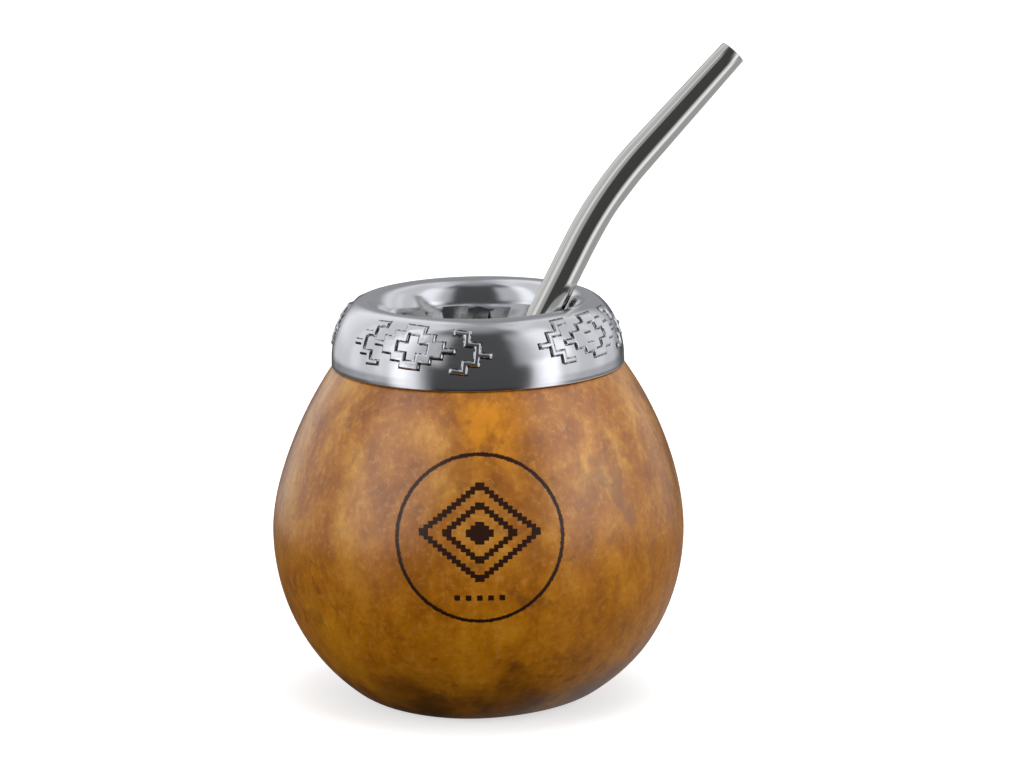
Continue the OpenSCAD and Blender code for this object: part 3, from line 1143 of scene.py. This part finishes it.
@dataclass
class Studio:
    """The pale floor, the soft lights and the camera."""

    distance: float = 1.2
    elevation: float = math.radians(11.743)
    target: tuple[float, float, float] = (0.007463, 0.0, 0.070085)
    lens: float = 192.0
    sensor: float = 36.0
    lamps: tuple[tuple[str, tuple[float, float, float], float, float], ...] = (
        ("top_lamp", (0.1, -0.1, 1.1), 0.9, 8.0), ("left_lamp", (-0.9, -0.7, 0.5), 0.7, 3.6),
        ("right_lamp", (1.0, -0.5, 0.5), 0.7, 4.3))
    panels: tuple[tuple[str, float, float, float, float], ...] = (
        ("left_panel", -54.0, 24.0, 1.0, 3.4), ("right_panel", 72.0, 24.0, 1.0, 3.2))
    boxes: tuple[SoftBox, ...] = (
        SoftBox(-108, 50, 10, -0.18, 0.97, 0.60, 0.05),
        SoftBox(98, 46, 12, -0.17, 0.97, 0.56, 0.05),
        SoftBox(-112, 6, 4, -0.12, 0.60, 0.18, 0.05),
        SoftBox(-83, 5, 4, -0.12, 0.50, 0.16, 0.05),
        SoftBox(80, 6, 4, -0.12, 0.50, 0.16, 0.05),
        SoftBox(112, 6, 4, -0.12, 0.60, 0.14, 0.05),
        SoftBox(-57, 13, 9, -0.50, 0.18, 0.84),
        SoftBox(-53, 25, 6, 0.22, 0.84, 0.44),
        SoftBox(56, 12, 8, -0.50, 0.26, 0.80),
        SoftBox(58, 24, 7, 0.22, 0.84, 0.42),
        SoftBox(-118, 66, 20, -0.50, -0.20, 0.06),
        SoftBox(-80, 16, 8, -0.50, -0.18, 0.14),
        SoftBox(112, 66, 20, -0.80, -0.20, 0.16),
        SoftBox(68, 12, 7, -0.50, -0.18, 0.16),
        SoftBox(112, 60, 14, -0.85, -0.30, 0.30),
        SoftBox(180, 50, 20, 0.02, 0.92, 0.26, 0.10),
        SoftBox(0, 180, 1, 0.94, 2.0, 0.32, 0.08),
    )
    shade: float = 0.068

    def reflections(self, tree: Tree) -> Socket:
        """Return what polished surfaces see in each direction."""
        direction = add(tree, "TexCoord").outputs["Generated"]
        parts = split(tree, direction)
        forward = calc(tree, "MULTIPLY", parts["Y"], -1.0)
        azimuth = calc(tree, "DEGREES", calc(tree, "ARCTAN2", parts["X"], forward))
        total = fade(tree, parts["Z"], -0.35, -0.15, 0.02, self.shade)
        for box in self.boxes:
            total = calc(tree, "ADD", total, box.light(tree, azimuth, parts["Z"]))
        return total

    def build_world(self) -> None:
        """Light the scene softly from all round, more from above."""
        world = bpy.data.worlds.new("studio_world")
        bpy.context.scene.world = world
        world.use_nodes = True
        tree = world.node_tree
        tree.nodes.clear()
        shiny = add(tree, "Background",
                    {"Color": linear("#fbfcff"), "Strength": self.reflections(tree)})
        height = split(tree, add(tree, "TexCoord").outputs["Generated"])["Z"]
        soft = add(tree, "Background",
                   {"Color": linear("#ffffff"),
                    "Strength": fade(tree, height, -0.35, 0.25, 0.14, 0.70)})
        glossy = add(tree, "LightPath").outputs["Is Glossy Ray"]
        both = add(tree, "MixShader",
                   {0: glossy, 1: soft.outputs[0], 2: shiny.outputs[0]})
        add(tree, "OutputWorld", {"Surface": both.outputs[0]})

    def build_floor(self) -> None:
        """Lay the pale floor."""
        bm = bmesh.new()
        bmesh.ops.create_grid(bm, x_segments=1, y_segments=1, size=4000.0)
        # Lit white acrylic table top.
        material, tree = new_material("lit_white_acrylic_table")
        close(tree, add(tree, "BsdfPrincipled",
                        {"Base Color": linear("#cccccc"), "Roughness": 0.9, "IOR": 1.45,
                         "Specular IOR Level": 0.0, "Emission Color": linear("#ffffff"),
                         "Emission Strength": 0.60}))
        floor = closed_piece("studio_floor", bm, [material])
        floor.visible_glossy = False
        floor.visible_diffuse = False

    def build_lamp(self, name: str, place: tuple[float, float, float], size: float,
                   power: float) -> Object:
        """Hang a square soft lamp that points at the gourd.

        Args:
            name: the lamp's name.
            place: where it hangs.
            size: the length of its side.
            power: its power in watts.

        Returns:
            The lamp.
        """
        data = bpy.data.lights.new(name, "AREA")
        data.shape, data.size, data.energy = "SQUARE", size, power
        lamp = bpy.data.objects.new(name, data)
        lamp.location = place
        aim = Vector(self.target) - Vector(place)
        lamp.rotation_euler = aim.to_track_quat("-Z", "Y").to_euler()
        lamp.visible_glossy = False
        bpy.context.scene.collection.objects.link(lamp)
        return lamp

    def build_gloss_panel(self, name: str, azimuth: float, height: float, size: float,
                          power: float, lit: Object) -> None:
        """Hang a panel that only shows as a sheen on one piece.

        Args:
            name: the panel's name.
            azimuth: degrees to the right of the camera's side.
            height: degrees above the gourd.
            size: the length of its side.
            power: its power in watts.
            lit: the piece that it shines on.
        """
        around, above = math.radians(azimuth), math.radians(height)
        place = Vector((math.sin(around) * math.cos(above), -math.cos(around) * math.cos(above),
                        math.sin(above))) + Vector(self.target)
        lamp = self.build_lamp(name, tuple(place), size, power)
        lamp.visible_glossy = True
        lamp.visible_diffuse = False
        flagged = bpy.data.collections.new(name + "_lights")
        flagged.objects.link(lit)
        lamp.light_linking.receiver_collection = flagged

    def build_camera(self) -> None:
        """Set up the camera in front of the gourd, a little above it."""
        data = bpy.data.cameras.new("studio_camera")
        data.lens, data.sensor_width = self.lens, self.sensor
        data.clip_start, data.clip_end = 0.01, 100.0
        camera = bpy.data.objects.new("studio_camera", data)
        x, y, z = self.target
        camera.location = (x, y - self.distance * math.cos(self.elevation),
                           z + self.distance * math.sin(self.elevation))
        camera.rotation_euler = (math.pi / 2 - self.elevation, 0.0, 0.0)
        bpy.context.scene.collection.objects.link(camera)
        bpy.context.scene.camera = camera

    def build(self, gourd: Object) -> None:
        """Build the floor, the lights and the camera, with a sheen for the gourd."""
        self.build_floor()
        self.build_world()
        for lamp in self.lamps:
            self.build_lamp(*lamp)
        for panel in self.panels:
            self.build_gloss_panel(*panel, gourd)
        self.build_camera()
        bpy.context.scene.view_settings.view_transform = "Standard"


def main() -> None:
    """Build the gourd, the collar, the straw and the studio."""
    logging.basicConfig(level=logging.INFO, format="%(message)s")
    gourd = GourdShell().build(LacqueredGourd().build(), RawGourd().build())
    collar = Collar().build(SPUN.build(), STAMPED.build(), SHADED_TABS.build())
    straw = Straw().build(STEEL.build())
    for node_name, slot_name, made in (("gourd", "gourd_shell", [gourd]),
                                       ("collar", "collar_metal", collar),
                                       ("straw", "straw_metal", [straw])):
        for piece in made:
            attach(piece, "root")
            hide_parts(node_name)
            LOG.info("built %s with %d faces", piece.name, len(piece.data.polygons))
    Studio().build(gourd)


if __name__ == "__main__":
    main()
